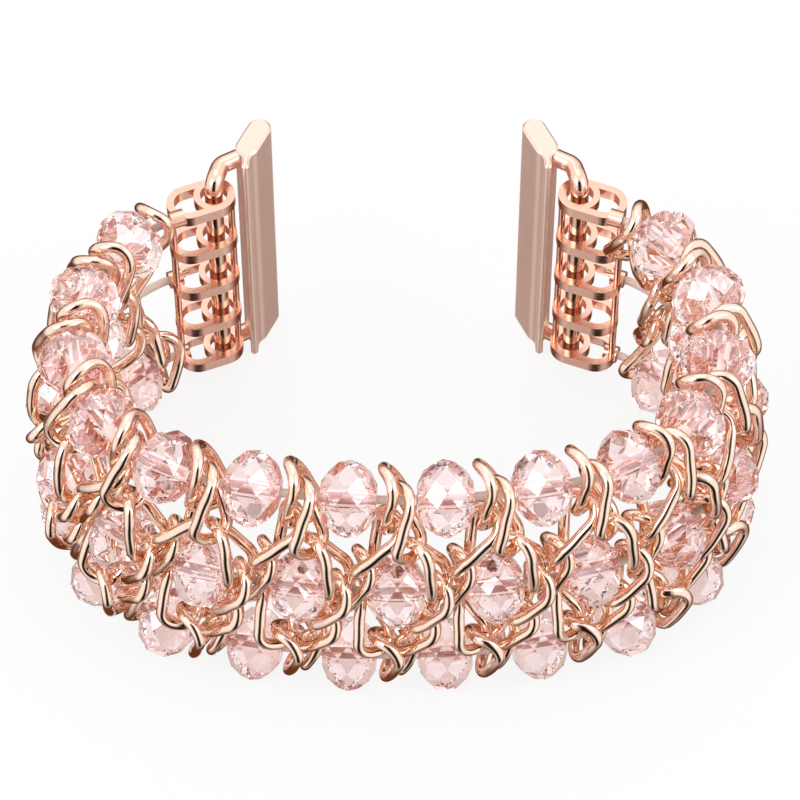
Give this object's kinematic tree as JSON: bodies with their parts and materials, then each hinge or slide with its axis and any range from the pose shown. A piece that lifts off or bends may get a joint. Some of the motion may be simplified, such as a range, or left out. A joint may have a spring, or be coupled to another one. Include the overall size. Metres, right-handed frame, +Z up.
{
  "type": "bead watch band",
  "caption": "Elastic bracelet watch band: three rows of faceted glass beads on cords, strands of twisted chain links between them, ladder connectors, bails and sliding lug inserts at the ends.",
  "frame": {"origin": "under the middle of the band's bounding box, on the surface that the lower beads stand on", "axes": "+X across the wrist to the wearer's right in the picture, +Y from the front of the wrist to the watch side, +Z up along the width of the band"},
  "size_m": [0.0789, 0.0545, 0.0328],
  "materials": {
    "bead_glass": "faceted salmon-pink glass",
    "link_metal": "polished pale rose gold plating",
    "connector_metal": "polished copper-rose plating",
    "pin_metal": "polished rose gold plating",
    "insert_metal": "polished rose gold plating",
    "elastic": "clear pale elastic cord"
  },
  "bodies": {
    "ring_01": {"middle_bead_01": "bead_glass", "chain_links_01": "link_metal"},
    "ring_02": {"middle_bead_02": "bead_glass", "chain_links_02": "link_metal", "outer_beads_02": "bead_glass"},
    "ring_03": {"middle_bead_03": "bead_glass", "chain_links_03": "link_metal", "outer_beads_03": "bead_glass"},
    "ring_04": {"middle_bead_04": "bead_glass", "chain_links_04": "link_metal", "outer_beads_04": "bead_glass"},
    "ring_05": {"middle_bead_05": "bead_glass", "chain_links_05": "link_metal", "outer_beads_05": "bead_glass"},
    "ring_06": {"middle_bead_06": "bead_glass", "chain_links_06": "link_metal", "outer_beads_06": "bead_glass"},
    "ring_07": {"middle_bead_07": "bead_glass", "chain_links_07": "link_metal", "outer_beads_07": "bead_glass", "outer_beads_08": "bead_glass", "upper_cord": "elastic", "middle_cord": "elastic", "lower_cord": "elastic"},
    "ring_08": {"middle_bead_08": "bead_glass", "chain_links_08": "link_metal", "outer_beads_09": "bead_glass"},
    "ring_09": {"middle_bead_09": "bead_glass", "chain_links_09": "link_metal", "outer_beads_10": "bead_glass"},
    "ring_10": {"middle_bead_10": "bead_glass", "chain_links_10": "link_metal", "outer_beads_11": "bead_glass"},
    "ring_11": {"middle_bead_11": "bead_glass", "chain_links_11": "link_metal", "outer_beads_12": "bead_glass"},
    "ring_12": {"middle_bead_12": "bead_glass", "chain_links_12": "link_metal", "outer_beads_13": "bead_glass"},
    "ring_13": {"middle_bead_13": "bead_glass", "chain_links_13": "link_metal"},
    "left_last_beads": {"outer_beads_01": "bead_glass"},
    "right_last_beads": {"outer_beads_14": "bead_glass"},
    "left_ladder": {"left_connector": "connector_metal", "left_end_strand": "link_metal"},
    "left_lug": {"left_lug_insert": "insert_metal", "left_upper_bail_pin": "pin_metal", "left_lower_bail_pin": "pin_metal"},
    "right_ladder": {"right_connector": "connector_metal", "right_end_strand": "link_metal"},
    "right_lug": {"right_lug_insert": "insert_metal", "right_upper_bail_pin": "pin_metal", "right_lower_bail_pin": "pin_metal"}
  },
  "joints": [
    {"name": "right_flex_1", "type": "hinge", "parent": "ring_07", "child": "ring_08", "pos_m": [0.005, -0.02312, 0.0164], "axis": [0, 0, -1], "range_deg": [-4, 8], "deforming": ["upper_cord", "middle_cord", "lower_cord"]},
    {"name": "right_flex_2", "type": "hinge", "parent": "ring_08", "child": "ring_09", "pos_m": [0.0149, -0.02179, 0.0164], "axis": [0, 0, -1], "range_deg": [-4, 8], "deforming": ["upper_cord", "middle_cord", "lower_cord"]},
    {"name": "right_flex_3", "type": "hinge", "parent": "ring_09", "child": "ring_10", "pos_m": [0.02428, -0.0189, 0.0164], "axis": [0, 0, -1], "range_deg": [-1, 9], "deforming": ["upper_cord", "middle_cord", "lower_cord"]},
    {"name": "right_flex_4", "type": "hinge", "parent": "ring_10", "child": "ring_11", "pos_m": [0.03157, -0.01263, 0.0164], "axis": [0, 0, -1], "range_deg": [-1, 9], "deforming": ["upper_cord", "middle_cord", "lower_cord"]},
    {"name": "right_flex_5", "type": "hinge", "parent": "ring_11", "child": "ring_12", "pos_m": [0.03529, -0.00376, 0.0164], "axis": [0, 0, -1], "range_deg": [-1, 9], "deforming": ["upper_cord", "middle_cord", "lower_cord"]},
    {"name": "right_flex_6", "type": "hinge", "parent": "ring_12", "child": "ring_13", "pos_m": [0.03467, 0.00583, 0.0164], "axis": [0, 0, -1], "range_deg": [-1, 9], "deforming": ["upper_cord", "middle_cord", "lower_cord"]},
    {"name": "right_stretch", "type": "slide", "parent": "ring_13", "child": "right_last_beads", "axis": [-0.687, 0.7267, 0], "range_m": [0, 0.004], "stiffness_N_per_m": 50, "deforming": ["upper_cord", "middle_cord", "lower_cord"]},
    {"name": "right_end_flex", "type": "hinge", "parent": "right_last_beads", "child": "right_ladder", "pos_m": [0.02984, 0.01414, 0.0164], "axis": [0, 0, -1], "range_deg": [-1, 9], "deforming": ["upper_cord", "middle_cord", "lower_cord"]},
    {"name": "right_lug_swing", "type": "hinge", "parent": "right_ladder", "child": "right_lug", "pos_m": [0.01944, 0.01894, 0.0164], "axis": [0, 0, -1], "range_deg": [-20, 20]},
    {"name": "left_flex_1", "type": "hinge", "parent": "ring_07", "child": "ring_06", "pos_m": [-0.005, -0.02312, 0.0164], "axis": [0, 0, 1], "range_deg": [-4, 8], "deforming": ["upper_cord", "middle_cord", "lower_cord"]},
    {"name": "left_flex_2", "type": "hinge", "parent": "ring_06", "child": "ring_05", "pos_m": [-0.0149, -0.02179, 0.0164], "axis": [0, 0, 1], "range_deg": [-4, 8], "deforming": ["upper_cord", "middle_cord", "lower_cord"]},
    {"name": "left_flex_3", "type": "hinge", "parent": "ring_05", "child": "ring_04", "pos_m": [-0.02428, -0.0189, 0.0164], "axis": [0, 0, 1], "range_deg": [-1, 9], "deforming": ["upper_cord", "middle_cord", "lower_cord"]},
    {"name": "left_flex_4", "type": "hinge", "parent": "ring_04", "child": "ring_03", "pos_m": [-0.03157, -0.01263, 0.0164], "axis": [0, 0, 1], "range_deg": [-1, 9], "deforming": ["upper_cord", "middle_cord", "lower_cord"]},
    {"name": "left_flex_5", "type": "hinge", "parent": "ring_03", "child": "ring_02", "pos_m": [-0.03529, -0.00376, 0.0164], "axis": [0, 0, 1], "range_deg": [-1, 9], "deforming": ["upper_cord", "middle_cord", "lower_cord"]},
    {"name": "left_flex_6", "type": "hinge", "parent": "ring_02", "child": "ring_01", "pos_m": [-0.03467, 0.00583, 0.0164], "axis": [0, 0, 1], "range_deg": [-1, 9], "deforming": ["upper_cord", "middle_cord", "lower_cord"]},
    {"name": "left_stretch", "type": "slide", "parent": "ring_01", "child": "left_last_beads", "axis": [0.687, 0.7267, 0], "range_m": [0, 0.004], "stiffness_N_per_m": 50, "deforming": ["upper_cord", "middle_cord", "lower_cord"]},
    {"name": "left_end_flex", "type": "hinge", "parent": "left_last_beads", "child": "left_ladder", "pos_m": [-0.02984, 0.01414, 0.0164], "axis": [0, 0, 1], "range_deg": [-1, 9], "deforming": ["upper_cord", "middle_cord", "lower_cord"]},
    {"name": "left_lug_swing", "type": "hinge", "parent": "left_ladder", "child": "left_lug", "pos_m": [-0.01944, 0.01894, 0.0164], "axis": [0, 0, 1], "range_deg": [-20, 20]}
  ]
}
